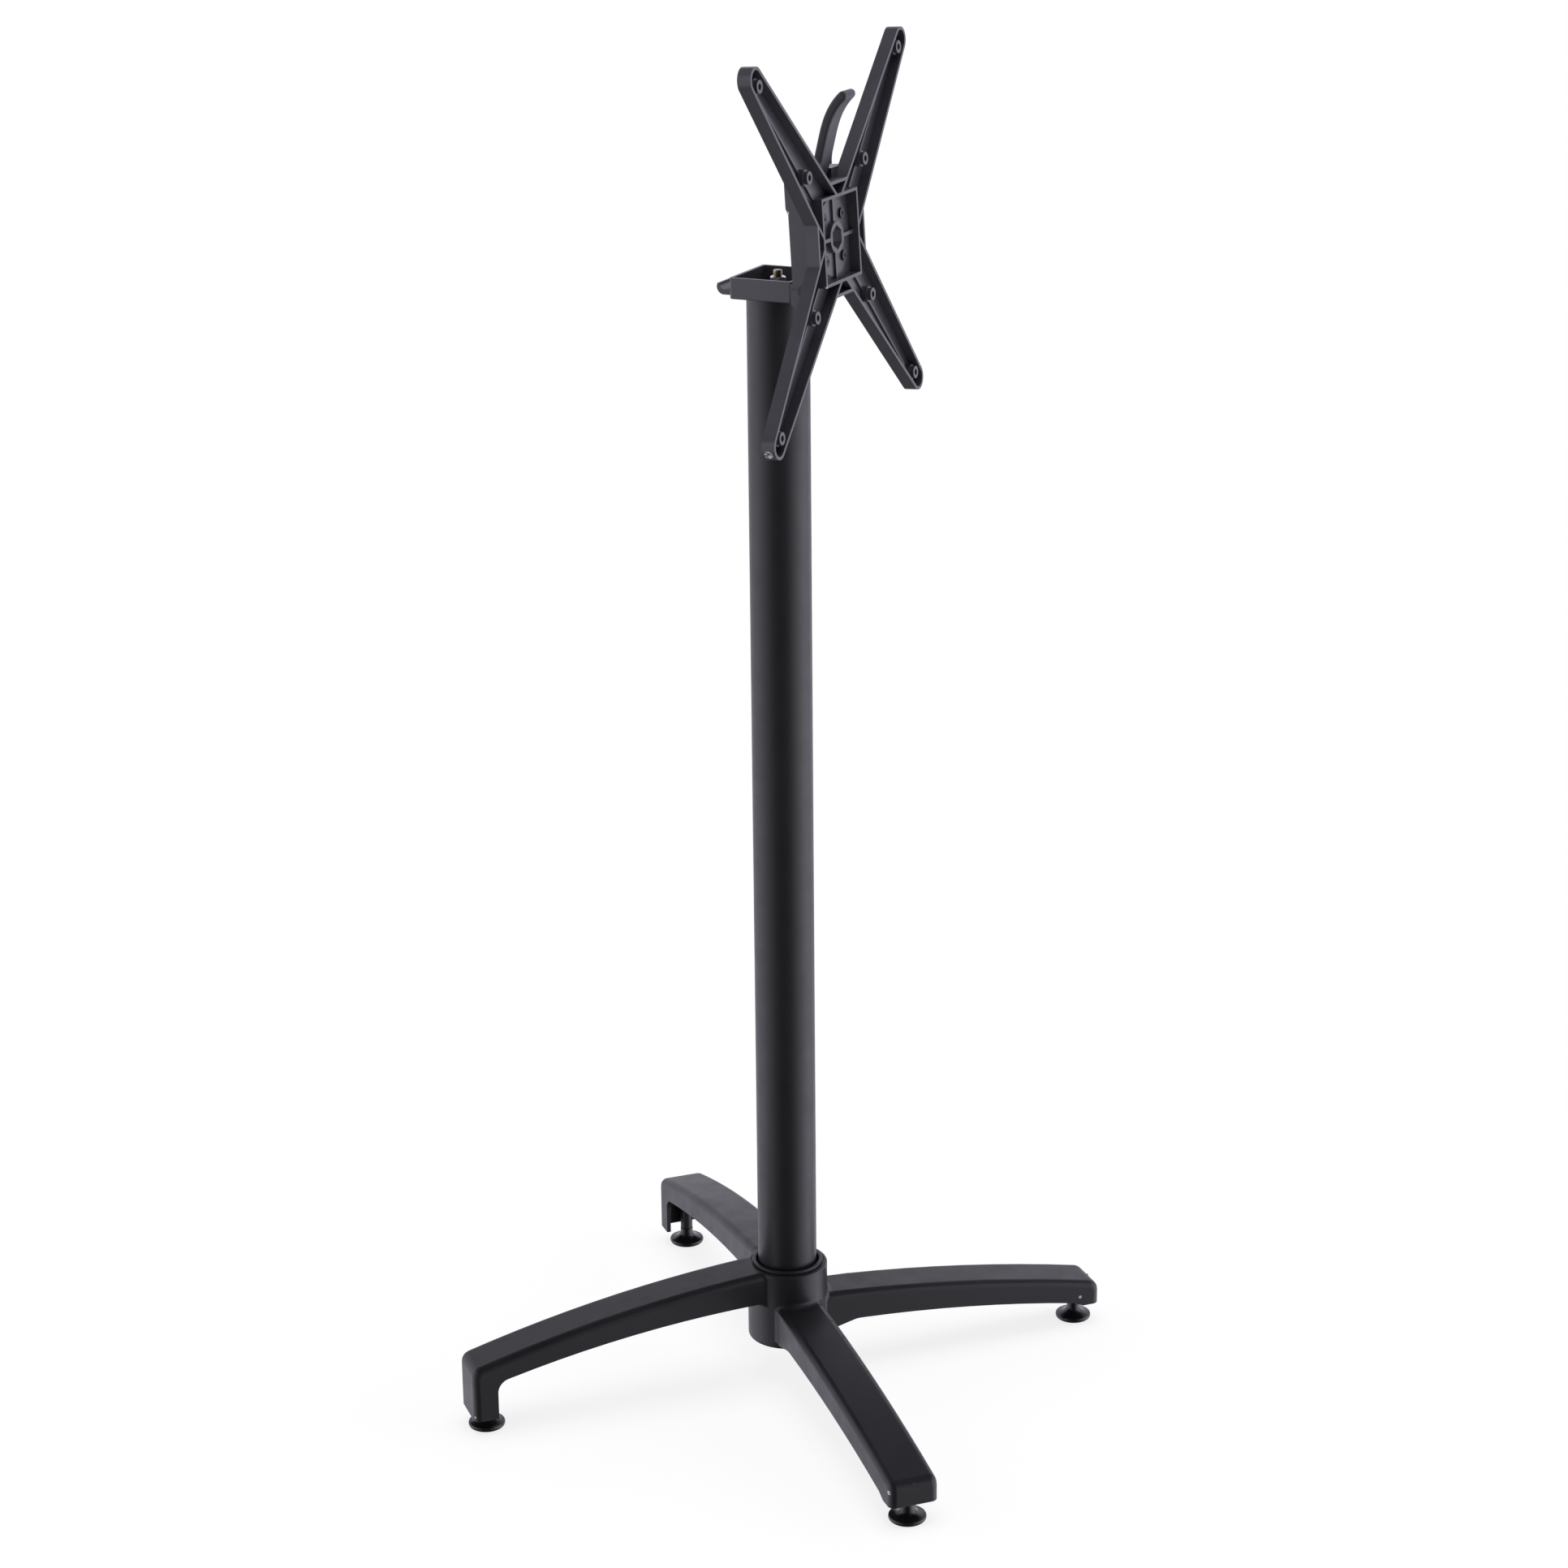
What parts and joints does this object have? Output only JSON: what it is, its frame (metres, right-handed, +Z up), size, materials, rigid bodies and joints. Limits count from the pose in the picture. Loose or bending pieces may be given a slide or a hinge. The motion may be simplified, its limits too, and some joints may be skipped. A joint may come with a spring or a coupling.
{
  "type": "tilting nesting table base",
  "caption": "Bar-height pedestal table base with a tilting cross-shaped top bracket, latch lever, round column and four splayed legs on levelling feet.",
  "frame": {"origin": "on the floor, on the axis of the column, midway between the four feet", "axes": "+Z up along the column; +X from the latch side of the tray to its hinge side, the side to which the opened top faces; Y along the tilt hinge"},
  "size_m": [0.4732, 0.4732, 1.2472],
  "materials": {
    "cast_powder_coat": "matte black powder coat on die-cast aluminium, fine texture",
    "steel_powder_coat": "matte black powder coat on steel tube",
    "yellow_zinc_steel": "bronze-yellow passivated zinc on steel, satin",
    "bright_zinc_steel": "bright zinc plate, satin",
    "zinc_steel": "dull zinc plate",
    "black_pin_steel": "black oxide, satin",
    "foot_plastic": "gloss black nylon"
  },
  "bodies": {
    "base": {"base_casting": "cast_powder_coat", "column_tube": "steel_powder_coat", "tie_rod": "yellow_zinc_steel", "rod_top_nut": "bright_zinc_steel", "rod_top_washer": "zinc_steel", "rod_bottom_nut": "bright_zinc_steel", "rod_bottom_washer": "zinc_steel", "tray_casting": "cast_powder_coat"},
    "head": {"tilt_head": "cast_powder_coat", "hinge_pin": "black_pin_steel", "lever_pin": "black_pin_steel", "spider_cross": "cast_powder_coat", "spider_screws": "black_pin_steel"},
    "lever": {"lever_handle": "cast_powder_coat"},
    "foot_front_left": {"foot_pad_front_left": "foot_plastic", "foot_stem_front_left": "zinc_steel"},
    "foot_back_left": {"foot_pad_back_left": "foot_plastic", "foot_stem_back_left": "zinc_steel"},
    "foot_front_right": {"foot_pad_front_right": "foot_plastic", "foot_stem_front_right": "zinc_steel"},
    "foot_back_right": {"foot_pad_back_right": "foot_plastic", "foot_stem_back_right": "zinc_steel"}
  },
  "joints": [
    {"name": "top_tilt", "type": "hinge", "parent": "base", "child": "head", "pos_m": [0.0405, 0, 1.045], "axis": [0, 1, 0], "range_deg": [-86.6, 0]},
    {"name": "lever_latch", "type": "hinge", "parent": "head", "child": "lever", "pos_m": [0.03713, 0, 1.13546], "axis": [0, 1, 0], "range_deg": [-28, 0]},
    {"name": "level_front_left", "type": "slide", "parent": "base", "child": "foot_front_left", "axis": [0, 0, -1], "range_m": [0, 0.012]},
    {"name": "level_back_left", "type": "slide", "parent": "base", "child": "foot_back_left", "axis": [0, 0, -1], "range_m": [0, 0.012]},
    {"name": "level_front_right", "type": "slide", "parent": "base", "child": "foot_front_right", "axis": [0, 0, -1], "range_m": [0, 0.012]},
    {"name": "level_back_right", "type": "slide", "parent": "base", "child": "foot_back_right", "axis": [0, 0, -1], "range_m": [0, 0.012]}
  ]
}
